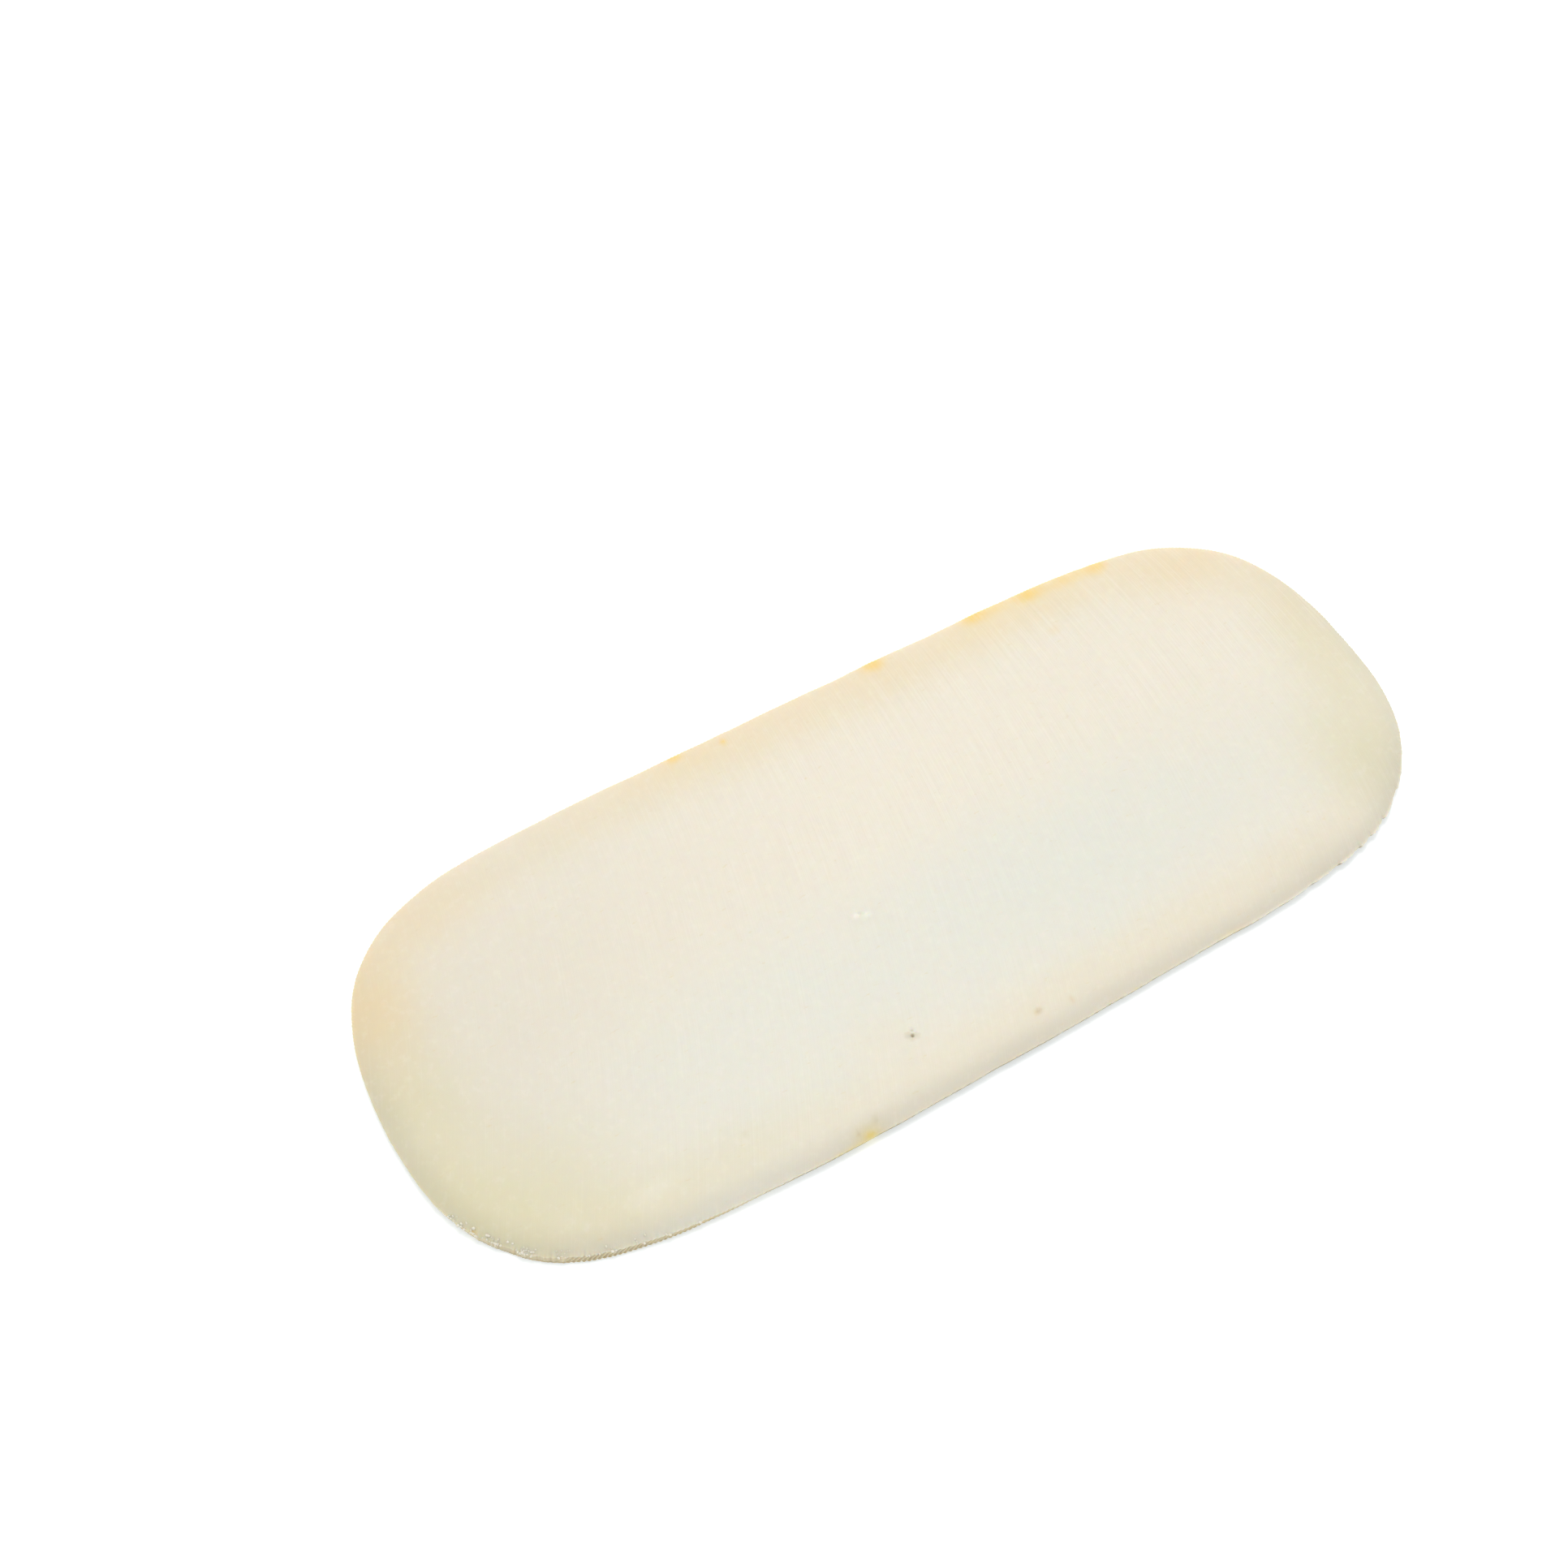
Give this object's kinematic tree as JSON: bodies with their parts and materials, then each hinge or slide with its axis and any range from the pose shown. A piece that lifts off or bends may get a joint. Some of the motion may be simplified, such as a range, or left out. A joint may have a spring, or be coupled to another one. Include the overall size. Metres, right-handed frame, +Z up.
{
  "type": "cheese slice",
  "caption": "Thin oblong slice of pale semi-soft cheese, cut straight across a loaf, with full shoulders, bulging ends and a drier, darker rim.",
  "frame": {"origin": "middle of the bounding box on the underside, the cut face that the slice lies on", "axes": "+X along the slice's length, +Y across it towards its straighter far side, +Z up through its thickness"},
  "size_m": [0.15, 0.0616, 0.0025],
  "materials": {
    "cheese": "satin, slightly moist cut paste, pale ivory with a tan rim"
  },
  "bodies": {
    "root": {"cheese_slice": "cheese"}
  },
  "joints": []
}
